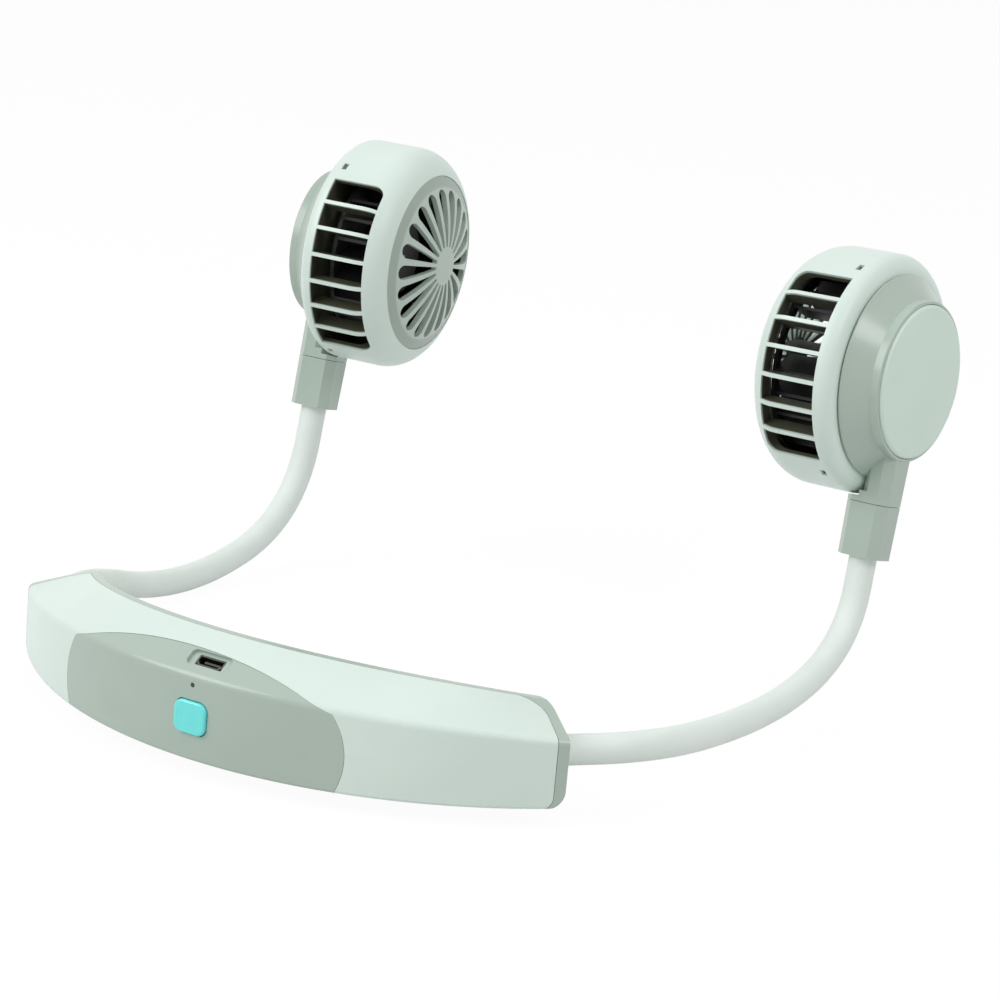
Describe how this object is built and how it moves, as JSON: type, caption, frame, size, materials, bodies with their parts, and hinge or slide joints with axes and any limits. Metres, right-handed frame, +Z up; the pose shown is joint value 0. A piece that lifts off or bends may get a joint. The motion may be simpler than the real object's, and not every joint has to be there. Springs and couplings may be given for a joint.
{
  "type": "neck fan",
  "caption": "Worn cordless fan: a curved battery housing for the nape carries two bendable arms, each ending in a drum-shaped blower head that turns to aim its air window.",
  "frame": {"origin": "middle of the housing's neck-side face, at mid height of that face", "axes": "+Y points from the housing at the wearer's neck and on to the heads, +Z is up, +X is the wearer's right"},
  "size_m": [0.2024, 0.2211, 0.1278],
  "materials": {
    "shell_white": "smooth satin moulded plastic, white with a faint mint cast",
    "trim_sage": "satin moulded plastic, sage grey",
    "disc_grey": "satin moulded plastic, pale grey green",
    "grille_grey": "satin moulded plastic, light grey",
    "button_cyan": "glossy, cyan",
    "lamp_lens": "clear light pipe",
    "sleeve_white": "smooth matt silicone",
    "black_plastic": "matt black",
    "steel": "plain steel",
    "board_green": "green board lacquer",
    "cell_foil": "foil pouch",
    "lead_cover": "black insulation"
  },
  "bodies": {
    "housing": {"outer_shell": "shell_white", "inner_shell": "trim_sage", "control_panel": "trim_sage", "tact_switch": "black_plastic", "led_lens": "lamp_lens", "usb_socket": "steel", "control_board": "board_green", "board_components": "black_plastic", "board_screws": "steel", "housing_screws": "steel", "battery_cells": "cell_foil", "arm_clamps": "trim_sage", "housing_leads": "lead_cover", "left_arm_sleeve_root": "sleeve_white", "left_arm_core_root": "steel", "right_arm_sleeve_root": "sleeve_white", "right_arm_core_root": "steel"},
    "button": {"power_button": "button_cyan"},
    "left_arm_lower": {"left_arm_sleeve_lower": "sleeve_white", "left_arm_core_lower": "steel"},
    "left_arm_middle": {"left_arm_sleeve_middle": "sleeve_white", "left_arm_core_middle": "steel"},
    "left_head": {"left_arm_sleeve_upper": "sleeve_white", "left_arm_core_upper": "steel", "left_arm_socket": "trim_sage", "left_neck_screw": "steel", "left_head_bracket": "trim_sage", "left_cover_disc": "disc_grey", "left_friction_ring": "black_plastic", "left_drum_retainer": "black_plastic", "left_retainer_screws": "steel", "left_fan_motor": "steel", "left_motor_lead": "lead_cover"},
    "left_drum": {"left_drum_shell": "shell_white", "left_drum_back_ring": "shell_white", "left_inlet_grille": "grille_grey"},
    "left_fan": {"left_impeller": "black_plastic", "left_motor_shaft": "steel"},
    "right_arm_lower": {"right_arm_sleeve_lower": "sleeve_white", "right_arm_core_lower": "steel"},
    "right_arm_middle": {"right_arm_sleeve_middle": "sleeve_white", "right_arm_core_middle": "steel"},
    "right_head": {"right_arm_sleeve_upper": "sleeve_white", "right_arm_core_upper": "steel", "right_arm_socket": "trim_sage", "right_neck_screw": "steel", "right_head_bracket": "trim_sage", "right_cover_disc": "disc_grey", "right_friction_ring": "black_plastic", "right_drum_retainer": "black_plastic", "right_retainer_screws": "steel", "right_fan_motor": "steel", "right_motor_lead": "lead_cover"},
    "right_drum": {"right_drum_shell": "shell_white", "right_drum_back_ring": "shell_white", "right_inlet_grille": "grille_grey"},
    "right_fan": {"right_impeller": "black_plastic", "right_motor_shaft": "steel"}
  },
  "joints": [
    {"name": "button_press", "type": "slide", "parent": "housing", "child": "button", "axis": [0, 1, 0], "range_m": [0, 0.0005], "stiffness_N_per_m": 2000, "springref_m": -0.0004},
    {"name": "left_arm_swing", "type": "hinge", "parent": "housing", "child": "left_arm_lower", "pos_m": [-0.0808, 0.03219, -0.0035], "axis": [0, 0, -1], "range_deg": [-30, 10]},
    {"name": "left_arm_lift", "type": "hinge", "parent": "left_arm_lower", "child": "left_arm_middle", "pos_m": [-0.09211, 0.12096, -0.01168], "axis": [1, 0, 0], "range_deg": [-30, 30]},
    {"name": "left_head_tilt", "type": "hinge", "parent": "left_arm_middle", "child": "left_head", "pos_m": [-0.09195, 0.1534, 0.01834], "axis": [0, 1, 0], "range_deg": [-30, 15]},
    {"name": "left_drum_turn", "type": "hinge", "parent": "left_head", "child": "left_drum", "pos_m": [-0.0849, 0.1656, 0.0766], "axis": [-0.9938, -0.108, 0.0279], "range_deg": [-150, 150]},
    {"name": "left_fan_spin", "type": "hinge", "parent": "left_head", "child": "left_fan", "pos_m": [-0.0849, 0.1656, 0.0766], "axis": [-0.9938, -0.108, 0.0279], "continuous": true},
    {"name": "right_arm_swing", "type": "hinge", "parent": "housing", "child": "right_arm_lower", "pos_m": [0.08077, 0.03215, -0.0035], "axis": [0, 0, 1], "range_deg": [-30, 10]},
    {"name": "right_arm_lift", "type": "hinge", "parent": "right_arm_lower", "child": "right_arm_middle", "pos_m": [0.09205, 0.1296, -0.00614], "axis": [1, 0, 0], "range_deg": [-30, 30]},
    {"name": "right_head_tilt", "type": "hinge", "parent": "right_arm_middle", "child": "right_head", "pos_m": [0.09194, 0.15395, 0.01521], "axis": [0, -1, 0], "range_deg": [-30, 15]},
    {"name": "right_drum_turn", "type": "hinge", "parent": "right_head", "child": "right_drum", "pos_m": [0.0849, 0.1656, 0.0707], "axis": [0.9938, -0.108, 0.0279], "range_deg": [-150, 150]},
    {"name": "right_fan_spin", "type": "hinge", "parent": "right_head", "child": "right_fan", "pos_m": [0.0849, 0.1656, 0.0707], "axis": [0.9938, -0.108, 0.0279], "continuous": true}
  ]
}
